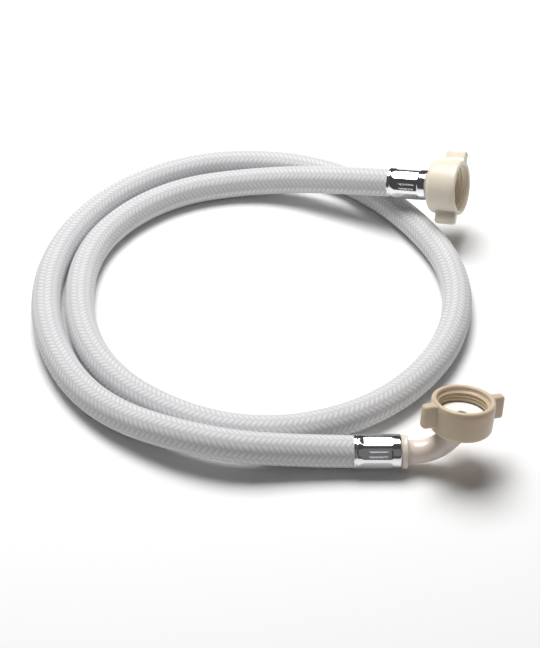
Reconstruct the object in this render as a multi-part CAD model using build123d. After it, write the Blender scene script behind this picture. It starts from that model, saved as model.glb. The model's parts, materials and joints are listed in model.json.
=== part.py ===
"""Braided supply line: a flexible hose with a straight and an elbow connector, each with a wing nut.

Millimetres, +Z up. The hose lies on the floor at z = 0 in one and a half loose turns, and the
origin is below the middle of the two end fittings. Every fitting is built along its own +Z, with
z = 0 at the cut end of the hose, and is then set on the end run of the hose's route.
"""
import math
import os

from build123d import *

# Hose
HOSE_OD = 16.5
BRAID_WALL = 1.5
HOSE_BORE = 10.0
LAYER_CLEARANCE = 0.05
CORNER_SHARE = 0.45  # share of the shorter run that each rounded corner of the route takes

# Crimped ferrule
FERRULE_GRIP = 22.0
FERRULE_WALL = 0.8
FERRULE_CLEARANCE = 0.05
FERRULE_OD = HOSE_OD + 2 * FERRULE_CLEARANCE + 2 * FERRULE_WALL
FERRULE_LIP = 2.2
CRIMP_LENGTH = 14.0
CRIMP_START = 4.4
CRIMP_DEPTH = 0.4
CRIMP_ACROSS_FLATS = FERRULE_OD - 2 * CRIMP_DEPTH
CRIMP_SIDES = 8

# Tail that the nut hangs on
TAIL_BORE = 7.5
BARB_LENGTH = 20.0
BARB_CLEARANCE = 0.05
BARB_GROOVE = 0.4
HOSE_STOP_GAP = 0.3  # between the hose's cut end and the neck
BARB_RINGS = 4
NECK_OD = 12.4
NECK_CLEARANCE = 0.1
NECK_LENGTH = 2.05
BOSS_OD = 17.0
COLLAR_OD = BOSS_OD  # the nut's back passes over either
COLLAR_LENGTH = 3.0
TUBE_OD = 11.8
FLANGE_OD = 23.0
FLANGE_THICKNESS = 3.0
BOSS_OVERHANG = 0.6

# Elbow of the bent tail
ELBOW_FIRST_RUN = 18.2
ELBOW_FIRST_TURN = 48.0
ELBOW_RISE = 14.0
ELBOW_ANGLE = 86.5
ELBOW_FIRST_RADIUS = 22.0
ELBOW_SECOND_RADIUS = 6.5
ELBOW_LEAN = 13.7
ELBOW_NUT_DROP = 0.9

# Wing nut, G3/4 thread
STRAIGHT_NUT_LENGTH = 18.0
ELBOW_NUT_LENGTH = 17.0
NUT_RIM_OD = 31.6
NUT_WAIST_OD = 32.2
NUT_BACK_OD = 31.2
NUT_RIM_BAND = 3.0
NUT_BACK_ROUND = 2.4
NUT_FLOOR = 2.8
THREAD_MINOR_D = 24.12
UNDERCUT_D = 25.4
MOUTH_D = 27.5
MOUTH_DEPTH = 1.9
LEAD_CHAMFER = 1.1
RUNNING_CLEARANCE = 0.08
END_FLOAT = 0.3
WING_SPAN = 44.4
WING_WIDTH = 12.4
WING_THICKNESS = 5.0
WING_FROM_RIM = 0.5
WING_ROUND = 1.2
STRAIGHT_NUT_OVERLAP = 1.2  # how far the straight nut's back stands over the collar
STRAIGHT_WING_TURN = -50.9
ELBOW_WING_TURN = 21.2

# Sealing washer
GASKET_OD = 23.4
GASKET_BORE = 6.0
GASKET_THICKNESS = 3.1
GASKET_GAP = 0.2

# The hose's route, from its cut end in the straight connector to its cut end in the elbow
# connector. The two end runs carry the connectors. At FLOOR the hose lies on the floor, and at
# FERRULE_FLOOR its ferrule does.
FLOOR = HOSE_OD / 2
FERRULE_FLOOR = FERRULE_OD / 2
ROUTE = [
    (11.8, 97.9, 30.9),
    (-26.5, 113.5, 23.6),
    (-83.8, 136.5, FLOOR),
    (-144.8, 121.5, FLOOR),
    (-186.3, 70.0, FLOOR),
    (-186.8, -3.5, FLOOR),
    (-156.3, -58.5, FLOOR),
    (-93.8, -91.5, FLOOR),
    (-26.8, -75.5, FLOOR),
    (18.7, -22.0, FLOOR),
    (28.3, 44.1, FLOOR),
    (-0.7, 105.6, FLOOR),
    (-48.3, 150.0, FLOOR),
    (-118.8, 156.0, FLOOR),
    (-175.3, 121.0, FLOOR),
    (-205.8, 60.5, FLOOR),
    (-203.8, -8.5, FLOOR),
    (-171.8, -69.5, FLOOR),
    (-109.8, -105.0, 16.5),
    (-55.6, -101.9, FERRULE_FLOOR),
    (-16.2, -101.9, FERRULE_FLOOR),
]


def corner_radii(points):
    """The radius of each corner of the route, as large as its two runs allow."""
    radii = []
    for before, corner, after in zip(points, points[1:], points[2:]):
        run_in = corner - before
        run_out = after - corner
        half_turn = math.radians(run_in.get_angle(run_out)) / 2
        shorter = min(run_in.length, run_out.length)
        radii.append(CORNER_SHARE * shorter / math.tan(half_turn))
    return radii


def hose_path():
    """The hose's centreline: straight runs joined by tangent arcs."""
    points = [Vector(*p) for p in ROUTE]
    radii = corner_radii(points)
    print("corner radii:", [round(r) for r in radii])
    return FilletPolyline(*points, radius=radii)


def hose_layer(path, outer_d, inner_d, name):
    """One tube of the hose, swept along the whole route."""
    start = Plane(origin=path @ 0, z_dir=path % 0)
    section = Circle(outer_d / 2) - Circle(inner_d / 2)
    layer = sweep(start * section, path=path)
    expected = section.area * path.length
    print(f"{name}: volume {layer.volume:.0f}, section x length {expected:.0f}, length {path.length:.1f}")
    return layer


def end_plane(tip, lead, up):
    """A frame at a cut end of the hose: +Z leaves the hose, and +X is as near to up as it can be."""
    axis = (Vector(*tip) - Vector(*lead)).normalized()
    across = (up - axis * up.dot(axis)).normalized()
    return Plane(origin=tip, x_dir=across, z_dir=axis)


def ring(outer_d, inner_d, z_from, z_to):
    """A plain round ring between two heights."""
    profile = Pos(0, 0, z_from) * (Circle(outer_d / 2) - Circle(inner_d / 2))
    return extrude(profile, z_to - z_from)


def rod(diameter, z_from, z_to):
    """A plain round bar between two heights."""
    return extrude(Pos(0, 0, z_from) * Circle(diameter / 2), z_to - z_from)


def ferrule():
    """The steel sleeve crimped round the hose: rolled lip, eight flats, and an end turned inwards."""
    front = NECK_LENGTH - NECK_CLEARANCE
    back = -FERRULE_GRIP
    body = rod(FERRULE_OD, back, front)
    lip_edges = body.edges().filter_by(GeomType.CIRCLE)
    body = fillet(lip_edges, FERRULE_LIP / 4)
    flats_from = back + CRIMP_START
    sleeve = rod(FERRULE_OD + 2, flats_from, flats_from + CRIMP_LENGTH)
    apothem = CRIMP_ACROSS_FLATS / 2
    prism = extrude(
        Pos(0, 0, flats_from) * RegularPolygon(apothem, CRIMP_SIDES, major_radius=False),
        CRIMP_LENGTH,
    )
    body -= sleeve - prism
    body -= rod(HOSE_OD + 2 * FERRULE_CLEARANCE, back, front - FERRULE_WALL)
    body -= rod(NECK_OD + 2 * NECK_CLEARANCE, back, front)
    return body


def barb():
    """The grooved spigot pushed into the hose, with the neck that the ferrule is turned in behind."""
    spigot_d = HOSE_BORE - 2 * BARB_CLEARANCE
    body = rod(spigot_d, -BARB_LENGTH, HOSE_STOP_GAP) + rod(NECK_OD, HOSE_STOP_GAP, NECK_LENGTH)
    pitch = BARB_LENGTH / (BARB_RINGS + 1)
    for i in range(1, BARB_RINGS + 1):
        z = -i * pitch
        body -= ring(spigot_d + 1, spigot_d - 2 * BARB_GROOVE, z - pitch / 4, z + pitch / 4)
    return body


def collar():
    """The round shoulder that stops against the ferrule."""
    body = rod(COLLAR_OD, NECK_LENGTH, NECK_LENGTH + COLLAR_LENGTH)
    front = body.edges().filter_by(GeomType.CIRCLE).sort_by(Axis.Z)[-1]
    return fillet(front, COLLAR_LENGTH / 4)


def flange_seat():
    """The boss and flange at the nut's end of a tail, in the nut's own frame."""
    seat = NUT_FLOOR + END_FLOAT
    return rod(BOSS_OD, -BOSS_OVERHANG, seat) + rod(FLANGE_OD, seat, seat + FLANGE_THICKNESS)


def straight_nut_plane():
    """Where the straight tail carries its nut: on the hose's own axis."""
    back = NECK_LENGTH + COLLAR_LENGTH - STRAIGHT_NUT_OVERLAP
    return Plane.XY.offset(back)


def straight_tail():
    """The straight hollow tail: spigot, collar, tube, and the flange that holds the nut."""
    nut_at = straight_nut_plane()
    face = nut_at.origin.Z + NUT_FLOOR + END_FLOAT + FLANGE_THICKNESS
    body = barb() + collar() + rod(TUBE_OD, NECK_LENGTH, face)
    body += nut_at.location * flange_seat()
    return body - rod(TAIL_BORE, -BARB_LENGTH, face)


def elbow_points():
    """The elbow's centreline corners in its XZ plane, from the hose's end to the flange's face."""
    turn = math.radians(ELBOW_ANGLE)
    first = Vector(0, 0, ELBOW_FIRST_RUN)
    forward = ELBOW_RISE / math.tan(math.radians(ELBOW_FIRST_TURN))
    second = first + Vector(ELBOW_RISE, 0, forward)
    axis = Vector(math.sin(turn), 0, math.cos(turn))
    return first, second, axis


def elbow_nut_plane():
    """Where the bent tail carries its nut: round the second corner."""
    _, second, axis = elbow_points()
    turn = math.radians(ELBOW_ANGLE)
    back_to_hose = Vector(math.cos(turn), 0, -math.sin(turn))
    return Plane(origin=second - axis * ELBOW_NUT_DROP, x_dir=back_to_hose, z_dir=axis)


def elbow_tail():
    """The bent hollow tail: spigot, collar, a tube with two rounded bends, boss and flange."""
    first, second, axis = elbow_points()
    nut_at = elbow_nut_plane()
    seat = NUT_FLOOR + END_FLOAT
    face = nut_at.origin + axis * (seat + FLANGE_THICKNESS)
    corners = [first, second, face]
    radii = [ELBOW_FIRST_RADIUS, ELBOW_SECOND_RADIUS]
    tube_path = FilletPolyline(Vector(0, 0, NECK_LENGTH), *corners, radius=radii)
    bore_path = FilletPolyline(Vector(0, 0, -BARB_LENGTH), *corners, radius=radii)
    tube = sweep(Pos(0, 0, NECK_LENGTH) * Circle(TUBE_OD / 2), path=tube_path)
    bore = sweep(Pos(0, 0, -BARB_LENGTH) * Circle(TAIL_BORE / 2), path=bore_path)
    body = barb() + collar() + tube
    body += nut_at.location * flange_seat()
    return body - bore


def nut_shell(length):
    """The outside of the nut without wings: drum, bevelled rim band and a well rounded back."""
    rim, waist, back = NUT_RIM_OD / 2, NUT_WAIST_OD / 2, NUT_BACK_OD / 2
    outline = Polyline(
        (0, 0), (back, 0), (waist, length - NUT_RIM_BAND), (rim, length), (0, length), close=True
    )
    drum = revolve(Plane.XZ * make_face(outline), Axis.Z)
    back_edge = drum.edges().filter_by(GeomType.CIRCLE).sort_by(Axis.Z)[0]
    return fillet(back_edge, NUT_BACK_ROUND)


def nut(length):
    """The wing nut, from z = 0 at its back to its threaded mouth."""
    mid = length - WING_FROM_RIM - WING_WIDTH / 2
    bar = Pos(0, 0, mid) * Box(WING_SPAN, WING_THICKNESS, WING_WIDTH)
    bar = fillet(bar.edges(), WING_ROUND)
    body = nut_shell(length) + bar
    undercut_to = NUT_FLOOR + END_FLOAT + FLANGE_THICKNESS + GASKET_THICKNESS + GASKET_GAP
    thread_to = length - MOUTH_DEPTH - LEAD_CHAMFER
    body -= rod(BOSS_OD + 2 * RUNNING_CLEARANCE, 0, NUT_FLOOR)
    body -= rod(UNDERCUT_D, NUT_FLOOR, undercut_to)
    body -= rod(THREAD_MINOR_D, undercut_to, thread_to)
    lead = Pos(0, 0, thread_to + LEAD_CHAMFER / 2) * Cone(
        THREAD_MINOR_D / 2, MOUTH_D / 2 - LEAD_CHAMFER / 2, LEAD_CHAMFER
    )
    body -= lead
    return body - rod(MOUTH_D, length - MOUTH_DEPTH, length)


def gasket():
    """The flat sealing washer on the flange's face, in the nut's frame."""
    face = NUT_FLOOR + END_FLOAT + FLANGE_THICKNESS
    return ring(GASKET_OD, GASKET_BORE, face, face + GASKET_THICKNESS)


def main():
    """Build every piece and write one STEP file for each."""
    path = hose_path()
    liner_od = HOSE_OD - 2 * BRAID_WALL - 2 * LAYER_CLEARANCE
    lean = math.radians(ELBOW_LEAN)
    straight_end = end_plane(ROUTE[0], ROUTE[1], Vector(0, 0, 1))
    elbow_end = end_plane(ROUTE[-1], ROUTE[-2], Vector(0, math.sin(lean), math.cos(lean)))
    straight_nut_at = straight_end.location * straight_nut_plane().location
    elbow_nut_at = elbow_end.location * elbow_nut_plane().location

    nodes = {
        "hose_liner": hose_layer(path, liner_od, HOSE_BORE, "hose_liner"),
        "hose_braid": hose_layer(path, HOSE_OD, HOSE_OD - 2 * BRAID_WALL, "hose_braid"),
        "straight_ferrule": straight_end.location * ferrule(),
        "straight_tail": straight_end.location * straight_tail(),
        "straight_nut": straight_nut_at * Rot(0, 0, STRAIGHT_WING_TURN) * nut(STRAIGHT_NUT_LENGTH),
        "straight_gasket": straight_nut_at * gasket(),
        "elbow_ferrule": elbow_end.location * ferrule(),
        "elbow_tail": elbow_end.location * elbow_tail(),
        "elbow_nut": elbow_nut_at * Rot(0, 0, ELBOW_WING_TURN) * nut(ELBOW_NUT_LENGTH),
        "elbow_gasket": elbow_nut_at * gasket(),
    }
    os.makedirs("parts", exist_ok=True)
    for name, solid in nodes.items():
        export_step(solid, f"parts/{name}.step")
    fittings = Compound([s for n, s in nodes.items() if not n.startswith("hose")]).bounding_box()
    print("fittings box", fittings.min, fittings.max)
    for name, place in (("straight", straight_nut_at), ("elbow", elbow_nut_at)):
        frame = Plane(place)
        print(name, "nut back", frame.origin, "axis", frame.z_dir)


main()
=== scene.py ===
"""A washing-machine supply line lying in one and a half loose turns.

A water hose in a woven jacket, with a bright crimped ferrule at each end. One end carries a straight
connector and the other an elbow, and each connector holds a plastic wing nut that spins on it.
Everything is in metres, +Z up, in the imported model's own frame.
"""

import json
import logging
import math
from dataclasses import dataclass, field
from enum import Enum
from typing import Callable, Optional, Sequence

import bmesh
import bpy
from mathutils import Matrix, Vector


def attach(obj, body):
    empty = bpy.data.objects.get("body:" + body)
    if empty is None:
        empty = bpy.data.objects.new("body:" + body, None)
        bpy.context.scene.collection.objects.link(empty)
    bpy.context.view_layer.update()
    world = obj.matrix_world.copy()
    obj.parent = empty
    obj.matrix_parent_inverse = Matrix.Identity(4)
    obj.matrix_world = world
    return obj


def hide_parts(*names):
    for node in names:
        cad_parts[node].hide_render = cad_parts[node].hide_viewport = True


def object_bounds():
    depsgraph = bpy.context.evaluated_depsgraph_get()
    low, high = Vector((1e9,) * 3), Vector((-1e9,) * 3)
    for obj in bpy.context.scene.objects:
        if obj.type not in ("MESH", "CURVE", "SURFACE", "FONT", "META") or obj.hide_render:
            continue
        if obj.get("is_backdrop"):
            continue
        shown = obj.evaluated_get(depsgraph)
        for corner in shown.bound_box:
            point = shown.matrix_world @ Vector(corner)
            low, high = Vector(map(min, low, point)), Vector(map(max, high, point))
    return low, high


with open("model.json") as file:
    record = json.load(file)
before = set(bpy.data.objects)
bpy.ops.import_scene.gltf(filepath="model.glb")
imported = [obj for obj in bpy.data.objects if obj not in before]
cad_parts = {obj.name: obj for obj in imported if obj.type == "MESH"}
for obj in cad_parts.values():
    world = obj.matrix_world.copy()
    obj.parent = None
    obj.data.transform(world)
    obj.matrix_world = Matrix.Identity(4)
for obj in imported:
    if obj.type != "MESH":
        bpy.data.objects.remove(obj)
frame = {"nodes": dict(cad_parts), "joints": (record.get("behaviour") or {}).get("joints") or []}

LOG = logging.getLogger("supply_line")
MM = 0.001
Outline = list[tuple[float, float]]
Shape = Callable[[float, float, float], float]


class End(Enum):
    """The two ends of the hose, by the kind of connector that each one carries."""

    STRAIGHT = "straight"
    ELBOW = "elbow"


# ---------------------------------------------------------------- materials


def linear(code: str) -> tuple[float, float, float, float]:
    """Turn an sRGB hex colour into the linear colour that a shader takes.

    Args:
        code: six hex digits with a leading #.

    Returns:
        Linear red, green and blue, and an alpha of 1.
    """
    parts = [int(code[i : i + 2], 16) / 255 for i in (1, 3, 5)]
    red, green, blue = (p / 12.92 if p <= 0.04045 else ((p + 0.055) / 1.055) ** 2.4 for p in parts)
    return red, green, blue, 1.0


def add(
    tree: bpy.types.NodeTree,
    kind: str,
    inputs: Optional[dict] = None,
    **settings: object,
) -> bpy.types.Node:
    """Add a node with its settings and its inputs, each of them a value or a link.

    Args:
        tree: the shader or geometry tree that gets the node.
        kind: the node's type name.
        inputs: socket name or number to a value, or to the output socket that feeds it.
        **settings: the node's own properties.

    Returns:
        The new node.
    """
    node = tree.nodes.new(kind)
    for name, value in settings.items():
        setattr(node, name, value)
    for key, value in (inputs or {}).items():
        if isinstance(value, bpy.types.NodeSocket):
            tree.links.new(value, node.inputs[key])
        else:
            node.inputs[key].default_value = value
    return node


def calc(tree: bpy.types.NodeTree, operation: str, *values: object) -> bpy.types.NodeSocket:
    """Work out one number in a tree with a Math node.

    Args:
        tree: the tree that gets the node.
        operation: the Math node's operation.
        *values: numbers or sockets, in the order of the node's inputs.

    Returns:
        The result's socket.
    """
    return add(tree, "ShaderNodeMath", dict(enumerate(values)), operation=operation).outputs[0]


def new_material(name: str) -> tuple[bpy.types.Material, bpy.types.NodeTree, bpy.types.Node]:
    """Make a material with an empty Principled shader on its output.

    Args:
        name: the material's name.

    Returns:
        The material, its tree and its Principled node.
    """
    material = bpy.data.materials.new(name)
    material.use_nodes = True
    tree = material.node_tree
    tree.nodes.clear()
    surface = add(tree, "ShaderNodeBsdfPrincipled")
    add(tree, "ShaderNodeOutputMaterial", {"Surface": surface.outputs[0]})
    return material, tree, surface


@dataclass(frozen=True)
class MouldedPlastic:
    """Injection-moulded plastic: even colour, a soft gloss and a little light under the surface.

    The mould leaves a fine spark-eroded grain, and the melt's flow leaves faint lighter clouds. The share
    of the light given by depth goes in as far as reach, and comes out warmer.
    """

    name: str
    colour: str
    cloud: str
    roughness: float
    depth: float = 0.15
    reach: float = 2 * MM
    grain: float = 0.45 * MM
    cloud_size: float = 9 * MM
    relief: float = 0.02 * MM

    def build(self) -> bpy.types.Material:
        """Make the material."""
        material, tree, surface = new_material(self.name)
        place = add(tree, "ShaderNodeTexCoord").outputs["Object"]
        mottle = {"Vector": place, "Scale": 1 / self.cloud_size, "Detail": 3.0}
        clouds = add(tree, "ShaderNodeTexNoise", mottle)
        # A colour Mix has its own two inputs and result, which are found by their places: 6, 7 and 2.
        colours = {"Factor": clouds.outputs[0], 6: linear(self.colour), 7: linear(self.cloud)}
        tint = add(tree, "ShaderNodeMix", colours, data_type="RGBA")
        grain = add(tree, "ShaderNodeTexNoise", {"Vector": place, "Scale": 1 / self.grain, "Detail": 2.0})
        worn = add(
            tree,
            "ShaderNodeMapRange",
            {"Value": clouds.outputs[0], "To Min": self.roughness - 0.05, "To Max": self.roughness + 0.07},
        )
        bump = add(
            tree, "ShaderNodeBump", {"Height": grain.outputs[0], "Strength": 0.5, "Distance": self.relief}
        )
        tree.links.new(tint.outputs[2], surface.inputs["Base Color"])
        tree.links.new(worn.outputs[0], surface.inputs["Roughness"])
        tree.links.new(bump.outputs[0], surface.inputs["Normal"])
        surface.inputs["IOR"].default_value = 1.5
        surface.inputs["Subsurface Weight"].default_value = self.depth
        surface.inputs["Subsurface Radius"].default_value = (1.0, 0.72, 0.42)
        surface.inputs["Subsurface Scale"].default_value = self.reach
        return material


@dataclass(frozen=True)
class WovenPolyester:
    """Braided polyester yarn: matt and pale, with painted shade that darkens it between the strands, and fine
    threads along each one.

    Real threads are about 0.1 mm thick, too fine to show, so each strand is drawn with four of them.
    """

    name: str = "woven_polyester_yarn"
    crown: str = "#DFDFE0"
    # The groove colour is painted shade: the darker colour laid into the hollows between strands. The crown
    # colour is the yarn's own.
    groove: str = "#C2C2C4"
    threads: int = 4

    def build(self) -> bpy.types.Material:
        """Make the material, which reads the jacket's own strand_rise and strand_rows attributes."""
        material, tree, surface = new_material(self.name)
        rise = add(tree, "ShaderNodeAttribute", attribute_name="strand_rise").outputs["Fac"]
        rows = add(tree, "ShaderNodeAttribute", attribute_name="strand_rows").outputs["Fac"]
        place = add(tree, "ShaderNodeTexCoord").outputs["Object"]
        wave = calc(tree, "COSINE", calc(tree, "MULTIPLY", rows, 2 * math.pi * self.threads))
        soil = add(tree, "ShaderNodeTexNoise", {"Vector": place, "Scale": 1 / (14 * MM), "Detail": 4.0})
        fuzz = add(tree, "ShaderNodeTexNoise", {"Vector": place, "Scale": 1 / (0.8 * MM), "Detail": 2.0})
        lit = calc(tree, "ADD", rise, calc(tree, "MULTIPLY", wave, 0.06))
        lit = calc(tree, "ADD", lit, calc(tree, "MULTIPLY_ADD", fuzz.outputs[0], 0.5, -0.25))
        lit = calc(tree, "ADD", lit, calc(tree, "MULTIPLY_ADD", soil.outputs[0], 0.24, -0.12))
        # Painted shade: the strand's height picks the colour, from the darker groove colour low between
        # strands up to the crown colour on top. The thread lines and the two noises shift it a little.
        groove_shade_ramp = add(tree, "ShaderNodeValToRGB", {"Fac": lit})
        groove_shade_ramp.color_ramp.elements[0].position = 0.05
        groove_shade_ramp.color_ramp.elements[0].color = linear(self.groove)
        groove_shade_ramp.color_ramp.elements[1].position = 0.85
        groove_shade_ramp.color_ramp.elements[1].color = linear(self.crown)
        bump = add(tree, "ShaderNodeBump", {"Height": wave, "Strength": 0.25, "Distance": 0.04 * MM})
        tree.links.new(groove_shade_ramp.outputs[0], surface.inputs["Base Color"])
        tree.links.new(bump.outputs[0], surface.inputs["Normal"])
        surface.inputs["Roughness"].default_value = 0.72
        surface.inputs["Sheen Weight"].default_value = 0.15
        surface.inputs["IOR"].default_value = 1.5
        return material


@dataclass(frozen=True)
class PlatedSteel:
    """Thin steel pressed and bright plated: a mirror with a faint drawn grain.

    Two rows of small punched dimples on one flat are left by the crimping tool's marking die.
    """

    name: str
    mark_turn: float
    girth_radius: float
    row_offset: float = 1.35
    dimple_pitch: float = 1.9
    dimple_radius: float = 0.42
    first_z: float = -14.6
    last_z: float = -5.2

    def dimples(self, tree: bpy.types.NodeTree, around: object, along: object) -> bpy.types.NodeSocket:
        """Draw the dimples' depth.

        Args:
            tree: the material's tree.
            around: the place round the ferrule, in millimetres.
            along: the place along its axis, in millimetres.

        Returns:
            A height that is 1 on the flat and falls to 0 in each dimple.
        """
        centre = self.mark_turn * self.girth_radius / MM
        off_centre = calc(tree, "ABSOLUTE", calc(tree, "SUBTRACT", around, centre))
        across = calc(tree, "SUBTRACT", off_centre, self.row_offset)
        fold = calc(tree, "PINGPONG", along, self.dimple_pitch / 2)
        step = calc(tree, "SUBTRACT", fold, self.dimple_pitch / 4)
        squares = [calc(tree, "POWER", side, 2) for side in (across, step)]
        reach = calc(tree, "SQRT", calc(tree, "ADD", *squares))
        bowl = add(
            tree,
            "ShaderNodeMapRange",
            {"Value": reach, "From Min": self.dimple_radius * 0.4, "From Max": self.dimple_radius},
            interpolation_type="SMOOTHSTEP",
        ).outputs[0]
        before = calc(tree, "LESS_THAN", along, self.first_z)
        after = calc(tree, "GREATER_THAN", along, self.last_z)
        return calc(tree, "MAXIMUM", bowl, calc(tree, "ADD", before, after))

    def build(self) -> bpy.types.Material:
        """Make the material, which reads the ferrule's own surface_mm map."""
        material, tree, surface = new_material(self.name)
        place = add(tree, "ShaderNodeUVMap", uv_map="surface_mm").outputs[0]
        split = add(tree, "ShaderNodeSeparateXYZ", {0: place})
        pits = self.dimples(tree, split.outputs[0], split.outputs[1])
        drawn = add(tree, "ShaderNodeMapping", {"Vector": place, "Scale": (0.4, 6.0, 1.0)}).outputs[0]
        grain = add(tree, "ShaderNodeTexNoise", {"Vector": drawn, "Scale": 1.0})
        dull = add(tree, "ShaderNodeMapRange", {"Value": grain.outputs[0], "To Min": 0.05, "To Max": 0.16})
        punched = add(tree, "ShaderNodeBump", {"Height": pits, "Strength": 1.0, "Distance": 0.16 * MM})
        lines = {"Height": grain.outputs[0], "Strength": 0.03, "Distance": 0.02 * MM}
        bump = add(tree, "ShaderNodeBump", {**lines, "Normal": punched.outputs[0]})
        tree.links.new(dull.outputs[0], surface.inputs["Roughness"])
        tree.links.new(bump.outputs[0], surface.inputs["Normal"])
        surface.inputs["Base Color"].default_value = linear("#E3E4E6")
        surface.inputs["Metallic"].default_value = 1.0
        return material


@dataclass(frozen=True)
class StudioPaper:
    """Seamless white background paper: flat, matt and plain."""

    name: str = "studio_paper"
    colour: str = "#FAFAFA"

    def build(self) -> bpy.types.Material:
        """Make the material."""
        material, tree, surface = new_material(self.name)
        place = add(tree, "ShaderNodeTexCoord").outputs["Object"]
        fibre = add(tree, "ShaderNodeTexNoise", {"Vector": place, "Scale": 1 / (2 * MM)})
        tooth = {"Height": fibre.outputs[0], "Strength": 0.05, "Distance": 0.02 * MM}
        bump = add(tree, "ShaderNodeBump", tooth)
        tree.links.new(bump.outputs[0], surface.inputs["Normal"])
        surface.inputs["Base Color"].default_value = linear(self.colour)
        surface.inputs["Roughness"].default_value = 0.95
        surface.inputs["Specular IOR Level"].default_value = 0.1
        return material


# ---------------------------------------------------------------- mesh work


def aim(origin: Vector, axis: Vector, toward: Vector) -> Matrix:
    """Make the frame that has +Z along an axis and +X as near to a direction as it can be.

    Args:
        origin: where the frame stands.
        axis: the direction of +Z.
        toward: the direction that +X leans to.

    Returns:
        The frame, as a matrix from its own coordinates to the model's.
    """
    z = axis.normalized()
    x = (toward - z * toward.dot(z)).normalized()
    y = z.cross(x)
    turned = Matrix((x, y, z)).transposed().to_4x4()
    return Matrix.Translation(origin) @ turned


def rounded_outline(corners: Sequence[tuple[float, float, float]], steps: int = 5) -> Outline:
    """Round the corners of a closed outline, each by its own radius.

    Args:
        corners: radius from the axis, height and rounding of each corner.
        steps: how many chords make each rounding.

    Returns:
        The outline's points.
    """
    points: Outline = []
    for i, (r, z, rounding) in enumerate(corners):
        here = Vector((r, z))
        if rounding == 0:
            points.append((r, z))
            continue
        back = (Vector(corners[i - 1][:2]) - here).normalized()
        ahead = (Vector(corners[(i + 1) % len(corners)][:2]) - here).normalized()
        half = back.angle(ahead) / 2
        centre = here + (back + ahead).normalized() * rounding / math.sin(half)
        arm = here + back * rounding / math.tan(half) - centre
        side = math.copysign(1.0, back.cross(ahead))
        for k in range(steps + 1):
            turn = -side * (math.pi - 2 * half) * k / steps
            c, s = math.cos(turn), math.sin(turn)
            points.append((centre.x + arm.x * c - arm.y * s, centre.y + arm.x * s + arm.y * c))
    return points


def with_rows(outline: Outline, low: float, high: float, spacing: float) -> Outline:
    """Divide the outline's long upright stretches into rows, so that they can take a shape.

    Args:
        outline: the closed outline.
        low: the lowest height to divide.
        high: the highest height to divide.
        spacing: the height of a row.

    Returns:
        The outline with the extra points.
    """
    points: Outline = []
    for (r0, z0), (r1, z1) in zip(outline, outline[1:] + outline[:1]):
        points.append((r0, z0))
        inside = low <= min(z0, z1) and max(z0, z1) <= high
        count = round(abs(z1 - z0) / spacing) if inside else 1
        for k in range(1, count):
            points.append((r0 + (r1 - r0) * k / count, z0 + (z1 - z0) * k / count))
    return points


def revolve(
    mesh: bmesh.types.BMesh,
    outline: Outline,
    segments: int,
    girth_radius: float,
    shape: Optional[Shape] = None,
) -> None:
    """Turn a closed outline round the Z axis, as a lathe does, with a map of its surface in millimetres.

    Args:
        mesh: the mesh that gets the turned part.
        outline: radius and height of each point.
        segments: how many steps make the full turn.
        girth_radius: the radius at which the map's first axis is true to size.
        shape: gives a point's radius from its turn, its radius and its height, where the part isn't round.
    """
    uv = mesh.loops.layers.uv.new("surface_mm")
    rings = []
    for i in range(segments):
        turn = 2 * math.pi * i / segments
        ring = []
        for r, z in outline:
            radius = shape(turn, r, z) if shape else r
            ring.append(mesh.verts.new((radius * math.cos(turn), radius * math.sin(turn), z)))
        rings.append(ring)
    for i in range(segments):
        ring, following = rings[i], rings[(i + 1) % segments]
        for k in range(len(outline)):
            n = (k + 1) % len(outline)
            face = mesh.faces.new((ring[k], following[k], following[n], ring[n]))
            for corner, (step, row) in zip(face.loops, ((i, k), (i + 1, k), (i + 1, n), (i, n))):
                around = 2 * math.pi * step / segments * girth_radius
                corner[uv].uv = (around / MM, outline[row][1] / MM)


def loft(mesh: bmesh.types.BMesh, sections: Sequence[Sequence[Vector]]) -> None:
    """Skin a row of closed sections and close both ends.

    Args:
        mesh: the mesh that gets the skin.
        sections: the sections' points, each with the same count and order.
    """
    rings = [[mesh.verts.new(p) for p in section] for section in sections]
    for ring, following in zip(rings, rings[1:]):
        for k in range(len(ring)):
            n = (k + 1) % len(ring)
            mesh.faces.new((ring[k], ring[n], following[n], following[k]))
    mesh.faces.new(rings[0])
    mesh.faces.new(rings[-1])


def rounded_section(
    distance: float,
    half_y: float,
    low: float,
    high: float,
    rounding: float,
    steps: int = 4,
) -> list[Vector]:
    """Draw a rounded rectangle that stands across the X axis.

    Args:
        distance: its place on the X axis.
        half_y: half its width along Y.
        low: its lowest height.
        high: its highest height.
        rounding: the radius of its corners.
        steps: how many chords make each corner.

    Returns:
        The points, once round.
    """
    corners = ((1, 1), (-1, 1), (-1, -1), (1, -1))
    middle, half_z = (low + high) / 2, (high - low) / 2
    points = []
    for quarter, (side, up) in enumerate(corners):
        for k in range(steps + 1):
            turn = math.pi / 2 * (quarter + k / steps)
            y = side * (half_y - rounding) + rounding * math.cos(turn)
            z = middle + up * (half_z - rounding) + rounding * math.sin(turn)
            points.append(Vector((distance, y, z)))
    return points


def finish_mesh(
    name: str,
    mesh: bmesh.types.BMesh,
    place: Matrix,
    material: bpy.types.Material,
    crease: float = 38,
) -> bpy.types.Object:
    """Turn finished mesh work into an object of the scene.

    Args:
        name: the piece's name.
        mesh: the mesh work, in its own frame.
        place: the frame that it stands in.
        material: its material.
        crease: the angle in degrees above which an edge stays sharp.

    Returns:
        The piece.
    """
    bmesh.ops.recalc_face_normals(mesh, faces=mesh.faces)
    mesh.transform(place)
    data = bpy.data.meshes.new(name)
    mesh.to_mesh(data)
    mesh.free()
    return place_mesh(name, data, material, crease)


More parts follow.
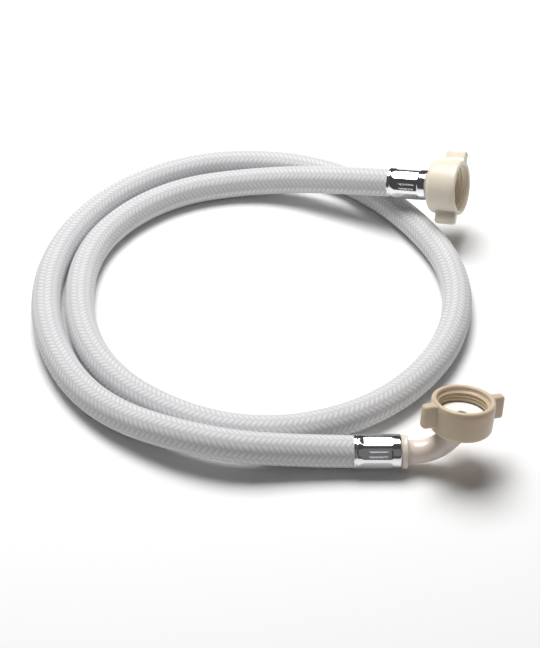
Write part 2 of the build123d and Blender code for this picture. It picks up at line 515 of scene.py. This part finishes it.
def place_mesh(
    name: str,
    data: bpy.types.Mesh,
    material: bpy.types.Material,
    crease: float,
) -> bpy.types.Object:
    """Shade a mesh, give it its material and put it in the scene.

    Args:
        name: the piece's name.
        data: the mesh, already in the model's frame.
        material: its material.
        crease: the angle in degrees above which an edge stays sharp.

    Returns:
        The piece.
    """
    data.shade_smooth()
    data.set_sharp_from_angle(angle=math.radians(crease))
    data.materials.clear()
    data.materials.append(material)
    piece = bpy.data.objects.new(name, data)
    bpy.context.scene.collection.objects.link(piece)
    data.calc_loop_triangles()
    LOG.info("%s: %d triangles", name, len(data.loop_triangles))
    return piece


def hand_over(piece: bpy.types.Object, body: str, node: str) -> None:
    """Hang a piece on its body, in place of the plain node of the frame.

    Args:
        piece: the finished piece.
        body: the body that it moves with.
        node: the node that it stands for.
    """
    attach(piece, body)
    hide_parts(node)


# ---------------------------------------------------------------- hose


@dataclass(frozen=True)
class HoseRoute:
    """The line that the hose follows, from its cut end in the straight connector to the one in the elbow."""

    radius: float = 8.25 * MM
    ferrule_radius: float = 9.1 * MM
    resolution: int = 24

    def points(self) -> list[Vector]:
        """Give the route's control points."""
        floor = self.radius / MM
        ferrule_floor = self.ferrule_radius / MM
        route = (
            (11.8, 97.9, 30.9),
            (-26.5, 113.5, 23.6),
            (-83.8, 136.5, floor),
            (-144.8, 121.5, floor),
            (-186.3, 70.0, floor),
            (-186.8, -3.5, floor),
            (-156.3, -58.5, floor),
            (-93.8, -91.5, floor),
            (-26.8, -75.5, floor),
            (18.7, -22.0, floor),
            (28.3, 44.1, floor),
            (-0.7, 105.6, floor),
            (-48.3, 150.0, floor),
            (-118.8, 156.0, floor),
            (-175.3, 121.0, floor),
            (-205.8, 60.5, floor),
            (-203.8, -8.5, floor),
            (-171.8, -69.5, floor),
            (-109.8, -105.0, 16.5),
            (-55.6, -101.9, ferrule_floor),
            (-16.2, -101.9, ferrule_floor),
        )
        return [Vector(p) * MM for p in route]

    def spline(self, name: str) -> bpy.types.Object:
        """Lay the route as one smooth curve with nothing on it.

        Args:
            name: the curve object's name.

        Returns:
            The curve object, in the scene.
        """
        curve = bpy.data.curves.new(name, "CURVE")
        curve.dimensions = "3D"
        spline = curve.splines.new("NURBS")
        points = self.points()
        spline.points.add(len(points) - 1)
        for slot, point in zip(spline.points, points):
            slot.co = (*point, 1.0)
        spline.order_u = 3
        spline.use_endpoint_u = True
        spline.resolution_u = self.resolution
        line = bpy.data.objects.new(name, curve)
        bpy.context.scene.collection.objects.link(line)
        return line

    def centreline(self) -> list[Vector]:
        """Read the points that the smooth curve passes through."""
        line = self.spline("route_reading")
        data = bpy.data.meshes.new_from_object(line)
        points = [v.co.copy() for v in data.vertices]
        bpy.data.meshes.remove(data)
        bpy.data.objects.remove(line)
        return points

    def end_frame(self, end: End, up: Vector) -> Matrix:
        """Give the frame at a cut end: +Z leaves the hose and +X is as near to up as it can be.

        Args:
            end: which end.
            up: the direction that +X leans to.

        Returns:
            The frame.
        """
        points = self.points()
        tip, lead = (points[0], points[1]) if end is End.STRAIGHT else (points[-1], points[-2])
        return aim(tip, tip - lead, up)


@dataclass
class BraidedJacket:
    """The hose's woven sleeve: twelve columns of slanting strands, each two strands wide in the weave.

    A maypole braider passes every strand over two and under two, so the strands that show make upright
    columns along the hose that slant left and right by turns, each half a strand out of step.
    """

    route: HoseRoute
    columns: int = 12
    steps: int = 4
    strand_pitch: float = 2.93 * MM
    relief: float = 0.16 * MM

    def tree(self) -> bpy.types.GeometryNodeTree:
        """Write the weave as a tree that grows it along whatever curve it is put on."""
        tree = bpy.data.node_groups.new("braided_jacket", "GeometryNodeTree")
        face = tree.interface
        face.new_socket("Geometry", in_out="INPUT", socket_type="NodeSocketGeometry")
        for name, kind in (
            ("Radius", "NodeSocketFloat"),
            ("Relief", "NodeSocketFloat"),
            ("Strand Pitch", "NodeSocketFloat"),
            ("Columns", "NodeSocketInt"),
            ("Steps", "NodeSocketInt"),
            ("Material", "NodeSocketMaterial"),
        ):
            face.new_socket(name, in_out="INPUT", socket_type=kind)
        face.new_socket("Geometry", in_out="OUTPUT", socket_type="NodeSocketGeometry")
        given = tree.nodes.new("NodeGroupInput").outputs
        line, steps, pitch = given["Geometry"], given["Steps"], given["Strand Pitch"]
        girth = calc(tree, "MULTIPLY", given["Columns"], steps)
        length = add(tree, "GeometryNodeCurveLength", {"Curve": line}).outputs[0]
        rings = calc(tree, "CEIL", calc(tree, "MULTIPLY", calc(tree, "DIVIDE", length, pitch), steps))
        rings = calc(tree, "ADD", rings, calc(tree, "ADD", steps, 1))
        spaced = add(tree, "GeometryNodeResampleCurve", {"Curve": line, "Count": rings}, mode="COUNT")
        circle = {"Resolution": girth, "Radius": given["Radius"]}
        hoop = add(tree, "GeometryNodeCurvePrimitiveCircle", circle)
        sleeve = add(
            tree,
            "GeometryNodeCurveToMesh",
            {"Curve": spaced.outputs[0], "Profile Curve": hoop.outputs[0], "Fill Caps": True},
        )
        index = add(tree, "GeometryNodeInputIndex").outputs[0]
        ring = calc(tree, "FLOOR", calc(tree, "DIVIDE", calc(tree, "ADD", index, 0.5), girth))
        spot = calc(tree, "SUBTRACT", index, calc(tree, "MULTIPLY", ring, girth))
        column = calc(tree, "FLOOR", calc(tree, "DIVIDE", calc(tree, "ADD", spot, 0.5), steps))
        left = calc(tree, "MODULO", column, 2)
        across = calc(tree, "SUBTRACT", calc(tree, "DIVIDE", spot, steps), column)
        slant = calc(tree, "ABSOLUTE", calc(tree, "SUBTRACT", left, across))
        rows = calc(tree, "DIVIDE", ring, steps)
        phase = calc(tree, "FRACT", calc(tree, "ADD", calc(tree, "MULTIPLY_ADD", left, 0.5, rows), 0.001))
        rise = self.rise(tree, across, phase)
        along = calc(tree, "MULTIPLY", calc(tree, "SUBTRACT", calc(tree, "ADD", rows, slant), 1), pitch)
        along = calc(tree, "MINIMUM", calc(tree, "MAXIMUM", along, 0), length)
        place = self.place(tree, given, along, calc(tree, "DIVIDE", spot, girth), rise)
        moved = add(tree, "GeometryNodeSetPosition", {"Geometry": sleeve.outputs[0], "Position": place})
        kept = moved.outputs[0]
        # strand_rise also drives the painted groove shade in the yarn's material.
        for name, value in (("strand_rise", rise), ("strand_rows", rows)):
            store = add(
                tree,
                "GeometryNodeStoreNamedAttribute",
                {"Geometry": kept, "Name": name, "Value": value},
                data_type="FLOAT",
                domain="POINT",
            )
            kept = store.outputs[0]
        merged = add(tree, "GeometryNodeMergeByDistance", {"Geometry": kept, "Distance": 0.002 * MM})
        real = add(tree, "GeometryNodeRealizeInstances", {"Geometry": merged.outputs[0]})
        yarn = {"Geometry": real.outputs[0], "Material": given["Material"]}
        dressed = add(tree, "GeometryNodeSetMaterial", yarn)
        add(tree, "NodeGroupOutput", {"Geometry": dressed.outputs[0]})
        return tree

    def rise(self, tree: bpy.types.NodeTree, across: object, phase: object) -> bpy.types.NodeSocket:
        """Give a strand's height, from 0 in the groove to 1 on its crown.

        Args:
            tree: the weave's tree.
            across: the place across the column, 0 to 1, which is along the strand.
            phase: the place along the hose within one strand, 0 to 1.

        Returns:
            The height.
        """
        over = calc(tree, "SINE", calc(tree, "MULTIPLY", across, math.pi))
        round_top = calc(tree, "SINE", calc(tree, "MULTIPLY", phase, math.pi))
        ends = calc(tree, "MULTIPLY_ADD", calc(tree, "POWER", over, 0.7), 0.7, 0.3)
        body = calc(tree, "MULTIPLY", ends, calc(tree, "POWER", round_top, 0.8))
        at_edge = calc(tree, "LESS_THAN", across, 0.01)
        return calc(tree, "MAXIMUM", body, calc(tree, "MULTIPLY", at_edge, 0.2))

    def place(
        self,
        tree: bpy.types.NodeTree,
        given: object,
        along: object,
        turn: object,
        rise: object,
    ) -> bpy.types.NodeSocket:
        """Put a point of the sleeve round the curve.

        Args:
            tree: the weave's tree.
            given: the tree's own inputs.
            along: the point's distance along the curve.
            turn: its share of a full turn.
            rise: its height on the strand.

        Returns:
            The point's place.
        """
        spot = {"Curves": given["Geometry"], "Length": along}
        at = add(tree, "GeometryNodeSampleCurve", spot, mode="LENGTH")
        ways = {0: at.outputs["Tangent"], 1: at.outputs["Normal"]}
        side = add(tree, "ShaderNodeVectorMath", ways, operation="CROSS_PRODUCT")
        angle = calc(tree, "MULTIPLY", turn, 2 * math.pi)
        low = calc(tree, "SUBTRACT", given["Radius"], given["Relief"])
        radius = calc(tree, "MULTIPLY_ADD", rise, given["Relief"], low)
        arms = []
        for trig, direction in (("COSINE", at.outputs["Normal"]), ("SINE", side.outputs[0])):
            reach = calc(tree, "MULTIPLY", calc(tree, trig, angle), radius)
            scaled = {0: direction, "Scale": reach}
            arms.append(add(tree, "ShaderNodeVectorMath", scaled, operation="SCALE").outputs[0])
        arm = add(tree, "ShaderNodeVectorMath", {0: arms[0], 1: arms[1]}, operation="ADD").outputs[0]
        ends = {0: at.outputs["Position"], 1: arm}
        return add(tree, "ShaderNodeVectorMath", ends, operation="ADD").outputs[0]

    def build(self) -> bpy.types.Object:
        """Returns:
            The jacket.
        """
        line = self.route.spline("jacket_line")
        tree = self.tree()
        material = WovenPolyester().build()
        weave = line.modifiers.new("weave", "NODES")
        weave.node_group = tree
        sizes = {
            "Radius": self.route.radius,
            "Relief": self.relief,
            "Strand Pitch": self.strand_pitch,
            "Columns": self.columns,
            "Steps": self.steps,
            "Material": material,
        }
        for item in tree.interface.items_tree:
            if item.in_out == "INPUT" and item.name in sizes:
                weave[item.identifier] = sizes[item.name]
        graph = bpy.context.evaluated_depsgraph_get()
        data = bpy.data.meshes.new_from_object(line.evaluated_get(graph), depsgraph=graph)
        data.name = "hose_jacket"
        bpy.data.objects.remove(line)
        jacket = place_mesh("hose_jacket", data, material, 180)
        hand_over(jacket, "hose_line", "hose_braid")
        path = self.route.centreline()
        return jacket


# ---------------------------------------------------------------- connectors


@dataclass
class CrimpedFerrule:
    """A steel sleeve crimped on the hose by eight jaws, with a rolled lip and an end turned inwards."""

    end: End
    place: Matrix
    outer_r: float = 8.98 * MM
    inner_r: float = 8.32 * MM
    lip_r: float = 9.1 * MM
    lip_width: float = 1.3 * MM
    neck_r: float = 6.35 * MM
    back_z: float = -22.0 * MM
    front_z: float = 1.95 * MM
    wall: float = 0.8 * MM
    shoulder: float = 1.0 * MM
    flat_r: float = 8.6 * MM
    flat_from: float = -16.6 * MM
    flat_to: float = -3.4 * MM
    long_ramp: float = 3.2 * MM
    short_ramp: float = 0.9 * MM
    sides: int = 8

    def outline(self) -> Outline:
        """Draw the sleeve's wall."""
        z, lip = self.back_z, self.lip_width
        corners = (
            (self.inner_r, z, 0.12 * MM),
            (self.lip_r, z, 0.45 * MM),
            (self.lip_r, z + lip, 0.4 * MM),
            (self.outer_r - 0.15 * MM, z + lip + 0.25 * MM, 0.1 * MM),
            (self.outer_r, z + lip + 0.9 * MM, 0.2 * MM),
            (self.outer_r, self.front_z, self.shoulder),
            (self.neck_r, self.front_z, 0.2 * MM),
            (self.neck_r, self.front_z - self.wall, 0.1 * MM),
            (self.inner_r, self.front_z - self.wall, 0.1 * MM),
        )
        return with_rows(rounded_outline(corners), z + lip, self.front_z - self.shoulder, 0.35 * MM)

    def crimp(self, turn: float, r: float, z: float) -> float:
        """Press the eight flats into the outer wall.

        Args:
            turn: the point's angle round the axis.
            r: its radius before crimping.
            z: its height.

        Returns:
            Its radius after crimping.
        """
        if r < self.outer_r - 0.3 * MM:
            return r
        rising = (z - self.flat_from + self.long_ramp) / self.long_ramp
        falling = (self.flat_to + self.short_ramp - z) / self.short_ramp
        depth = max(0.0, min(1.0, rising, falling))
        depth = depth * depth * (3 - 2 * depth)
        start = self.outer_r + 0.02 * MM
        apothem = start + (self.flat_r - start) * depth
        sector = 2 * math.pi / self.sides
        off = (turn % sector) - sector / 2
        return min(r, apothem / math.cos(off))

    def build(self, material: bpy.types.Material) -> bpy.types.Object:
        """Make the ferrule.

        Args:
            material: its plated steel.

        Returns:
            The piece.
        """
        mesh = bmesh.new()
        revolve(mesh, self.outline(), 128, self.outer_r, self.crimp)
        node = f"{self.end.value}_ferrule"
        piece = finish_mesh(f"{node}_crimped", mesh, self.place, material, crease=24)
        hand_over(piece, "hose_line", node)
        return piece


@dataclass
class WingNut:
    """A moulded pipe nut with two wings: a drum with a rounded back, and a G3/4 thread in its mouth.

    The moulded thread is softer than the standard profile, 0.8 mm deep in place of 1.16 mm.
    """

    end: End
    place: Matrix
    length: float
    back_r: float = 15.6 * MM
    waist_r: float = 16.1 * MM
    rim_r: float = 15.8 * MM
    rim_band: float = 3.0 * MM
    mouth_r: float = 13.35 * MM
    mouth_depth: float = 2.3 * MM
    lead: float = 0.7 * MM
    minor_r: float = 12.06 * MM
    major_r: float = 12.85 * MM
    thread_pitch: float = 1.814 * MM
    thread_from: float = 9.4 * MM
    undercut_r: float = 12.7 * MM
    floor_z: float = 2.8 * MM
    hole_r: float = 8.58 * MM
    wing_tip: float = 22.2 * MM
    wing_half: float = 2.5 * MM
    wing_width: float = 12.4 * MM
    wing_from_rim: float = 0.5 * MM

    def outline(self) -> Outline:
        """Draw the drum's wall, from its back round the rim and down the thread to the floor."""
        mouth_z = self.length - self.mouth_depth
        corners = (
            (self.hole_r, 0.0, 0.4 * MM),
            (self.back_r, 0.0, 2.8 * MM),
            (self.waist_r, self.length - self.rim_band, 0.9 * MM),
            (self.rim_r - 0.1 * MM, self.length, 1.1 * MM),
            (self.mouth_r, self.length, 0.9 * MM),
            (self.mouth_r, mouth_z, 0.3 * MM),
            (self.mouth_r - self.lead / 2, mouth_z, 0.1 * MM),
            (self.minor_r, mouth_z - self.lead, 0.1 * MM),
            (self.minor_r, self.thread_from, 0.1 * MM),
            (self.undercut_r, self.thread_from, 0.1 * MM),
            (self.undercut_r, self.floor_z, 0.2 * MM),
            (self.hole_r, self.floor_z, 0.3 * MM),
        )
        rounded = rounded_outline(corners, 6)
        return with_rows(rounded, self.thread_from - 0.2 * MM, mouth_z, 0.12 * MM)

    def cut_thread(self, turn: float, r: float, z: float) -> float:
        """Cut the right-handed thread outwards from its crest, and let it run out at both ends.

        Args:
            turn: the point's angle round the axis.
            r: its radius before cutting.
            z: its height.

        Returns:
            Its radius after cutting.
        """
        top = self.length - self.mouth_depth
        if not self.thread_from <= z <= top or r > self.major_r:
            return r
        wave = 0.5 - 0.5 * math.cos(2 * math.pi * (z / self.thread_pitch) - turn)
        fade = min(1.0, (z - self.thread_from) / (1.2 * MM))
        groove = self.minor_r + (self.major_r - self.minor_r) * wave * fade
        return max(r, groove)

    def wing(self, mesh: bmesh.types.BMesh, side: int) -> None:
        """Grow one wing out of the drum, with a flared root and a rounded tip.

        Args:
            mesh: the nut's mesh.
            side: 1 or -1, the side of the X axis.
        """
        half, tip = self.wing_half, self.wing_tip
        high = self.length - self.wing_from_rim
        low = high - self.wing_width
        stations = (
            (14.9 * MM, 1.30, -0.5 * MM),
            (15.7 * MM, 1.25, -0.35 * MM),
            (16.2 * MM, 1.13, -0.15 * MM),
            (16.8 * MM, 1.05, 0.0),
            (17.8 * MM, 1.0, 0.0),
            (tip - 1.5 * MM, 0.98, 0.0),
            (tip - 0.9 * MM, 0.94, 0.12 * MM),
            (tip - 0.45 * MM, 0.84, 0.35 * MM),
            (tip - 0.15 * MM, 0.68, 0.7 * MM),
            (tip, 0.46, 1.2 * MM),
        )
        sections = []
        for distance, share, shrink in stations:
            width = half * share
            top = high - max(shrink, 0.0)
            ring = rounded_section(distance, width, low + shrink, top, min(1.25 * MM, width * 0.8))
            sections.append([Vector((side * p.x, side * p.y, p.z)) for p in ring])
        loft(mesh, sections)

    def build(self, material: bpy.types.Material) -> bpy.types.Object:
        """Make the nut.

        Args:
            material: its moulded plastic.

        Returns:
            The piece.
        """
        mesh = bmesh.new()
        revolve(mesh, self.outline(), 128, self.waist_r, self.cut_thread)
        for side in (1, -1):
            self.wing(mesh, side)
        node = f"{self.end.value}_nut"
        piece = finish_mesh(f"{node}_threaded", mesh, self.place, material)
        hand_over(piece, node, node)
        return piece


@dataclass
class SealingWasher:
    """The flat rubber washer on the tail's flange, a little crowned by its own squeeze."""

    end: End
    place: Matrix
    outer_r: float = 11.7 * MM
    bore_r: float = 2.6 * MM
    low: float = 6.1 * MM
    high: float = 9.2 * MM

    def build(self, material: bpy.types.Material) -> bpy.types.Object:
        """Make the washer.

        Args:
            material: its rubber.

        Returns:
            The piece.
        """
        corners = (
            (self.bore_r, self.low, 0.2 * MM),
            (self.outer_r, self.low, 0.3 * MM),
            (self.outer_r, self.high - 0.25 * MM, 0.6 * MM),
            (self.outer_r * 0.72, self.high + 0.1 * MM, 1.5 * MM),
            (self.bore_r + 1.0 * MM, self.high + 0.1 * MM, 0.4 * MM),
            (self.bore_r, self.high - 0.25 * MM, 0.25 * MM),
        )
        mesh = bmesh.new()
        revolve(mesh, rounded_outline(corners, 6), 96, self.outer_r)
        node = f"{self.end.value}_gasket"
        piece = finish_mesh(f"{node}_crowned", mesh, self.place, material)
        hand_over(piece, "hose_line", node)
        return piece


@dataclass
class MouldedTail:
    """The hollow tail between hose and nut, in the shape that the frame gives it."""

    end: End

    def build(self, material: bpy.types.Material) -> bpy.types.Object:
        """Make a smooth copy of the frame's tail.

        Args:
            material: its moulded plastic.

        Returns:
            The piece.
        """
        node = f"{self.end.value}_tail"
        mesh = bmesh.new()
        mesh.from_mesh(frame["nodes"][node].data)
        bmesh.ops.remove_doubles(mesh, verts=mesh.verts, dist=0.001 * MM)
        piece = finish_mesh(f"{node}_moulded", mesh, Matrix.Identity(4), material, crease=30)
        hand_over(piece, "hose_line", node)
        return piece


@dataclass
class Connector:
    """Everything on one end of the hose: ferrule, tail, washer and nut."""

    end: End
    route: HoseRoute
    lean: float
    wing_turn: float
    nut_length: float
    nut_plastic: MouldedPlastic

    def hose_frame(self) -> Matrix:
        """Give the frame at this end's cut face of the hose."""
        up = Vector((0.0, math.sin(self.lean), math.cos(self.lean)))
        return self.route.end_frame(self.end, up)

    def nut_frame(self) -> Matrix:
        """Give the frame at the nut's back, from the joint that the nut spins on."""
        joint = next(j for j in frame["joints"] if j["child"] == f"{self.end.value}_nut")
        hose = self.hose_frame().to_3x3()
        toward = hose.col[0] if self.end is End.STRAIGHT else -hose.col[2]
        return aim(Vector(joint["pos_m"]), Vector(joint["axis"]), toward)

    def build(self, steel: bpy.types.Material, tail: bpy.types.Material, rubber: bpy.types.Material) -> None:
        """Make this end's pieces, from the hose outwards.

        Args:
            steel: the ferrule's material.
            tail: the tail's material.
            rubber: the washer's material.
        """
        nut = self.nut_frame()
        CrimpedFerrule(self.end, self.hose_frame()).build(steel)
        MouldedTail(self.end).build(tail)
        SealingWasher(self.end, nut).build(rubber)
        turned = nut @ Matrix.Rotation(self.wing_turn, 4, "Z")
        WingNut(self.end, turned, self.nut_length).build(self.nut_plastic.build())


# ---------------------------------------------------------------- studio


@dataclass
class Studio:
    """A sheet of white paper, a big soft light above and behind, and a camera that looks down on the coil."""

    camera_at: Vector = field(default_factory=lambda: Vector((-79.8, -681.0, 578.4)) * MM)
    camera_tilt: float = math.radians(40)
    lens: float = 90.0
    paper_half: float = 3.0
    surround: float = 0.07

    def camera(self) -> None:
        """Set the camera up."""
        data = bpy.data.cameras.new("studio_camera")
        data.lens = self.lens
        data.sensor_width = 36.0
        camera = bpy.data.objects.new("studio_camera", data)
        camera.location = self.camera_at
        camera.rotation_euler = (math.pi / 2 - self.camera_tilt, 0.0, 0.0)
        bpy.context.scene.collection.objects.link(camera)
        bpy.context.scene.camera = camera

    def light(self, name: str, direction: Vector, distance: float, size: float, power: float) -> None:
        """Hang a square soft light that faces the object.

        Args:
            name: the light's name.
            direction: from the object to the light.
            distance: how far it hangs, in metres.
            size: its side, in metres.
            power: its power, in watts.
        """
        data = bpy.data.lights.new(name, "AREA")
        data.shape = "SQUARE"
        data.size = size
        data.energy = power
        light = bpy.data.objects.new(name, data)
        low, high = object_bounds()
        middle = (low + high) / 2
        light.location = middle + direction.normalized() * distance
        light.rotation_euler = (-direction).to_track_quat("-Z", "Y").to_euler()
        bpy.context.scene.collection.objects.link(light)

    def build(self) -> None:
        """Lay the paper and light it."""
        mesh = bmesh.new()
        bmesh.ops.create_grid(mesh, x_segments=8, y_segments=8, size=self.paper_half)
        paper = finish_mesh("studio_paper", mesh, Matrix.Identity(4), StudioPaper().build())
        paper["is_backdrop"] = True
        self.light("key_light", Vector((-0.10, 0.36, 0.93)), 1.3, 0.80, 23.0)
        self.light("front_fill", Vector((0.25, -0.8, 0.6)), 1.8, 1.4, 0.7)
        world = bpy.data.worlds.new("studio_world")
        world.use_nodes = True
        background = world.node_tree.nodes["Background"]
        background.inputs["Color"].default_value = (1, 1, 1, 1)
        background.inputs["Strength"].default_value = self.surround
        bpy.context.scene.world = world
        bpy.context.scene.view_settings.view_transform = "Standard"


def main() -> None:
    """Build the studio and the supply line."""
    logging.basicConfig(level=logging.INFO, format="%(message)s")
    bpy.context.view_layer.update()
    studio = Studio()
    studio.camera()
    route = HoseRoute()
    BraidedJacket(route).build()
    tail = MouldedPlastic("moulded_acetal", "#E6D8CD", "#EFE4DA", 0.22, depth=0.2).build()
    rubber = MouldedPlastic("moulded_silicone_rubber", "#F1EFEA", "#F6F5F2", 0.5, depth=0.2).build()
    liner = MouldedPlastic("extruded_pvc", "#D8D8D4", "#DEDEDA", 0.4).build()
    steel = PlatedSteel("plated_crimp_steel", math.radians(67.5), 9.1 * MM).build()
    nut_a = MouldedPlastic("moulded_nylon_ivory", "#EADFCB", "#F0E8DA", 0.34, depth=0.4, reach=3.5 * MM)
    nut_b = MouldedPlastic("moulded_nylon_tan", "#CFBBA0", "#D8C6AE", 0.34, depth=0.35, reach=3 * MM)
    straight = Connector(End.STRAIGHT, route, 0.0, math.radians(-50.9), 18 * MM, nut_a)
    elbow = Connector(End.ELBOW, route, math.radians(13.7), math.radians(21.2), 17 * MM, nut_b)
    for connector in (straight, elbow):
        connector.build(steel, tail, rubber)
    inner = frame["nodes"]["hose_liner"]
    inner.data.materials.clear()
    inner.data.materials.append(liner)
    studio.build()


if __name__ == "__main__":
    main()
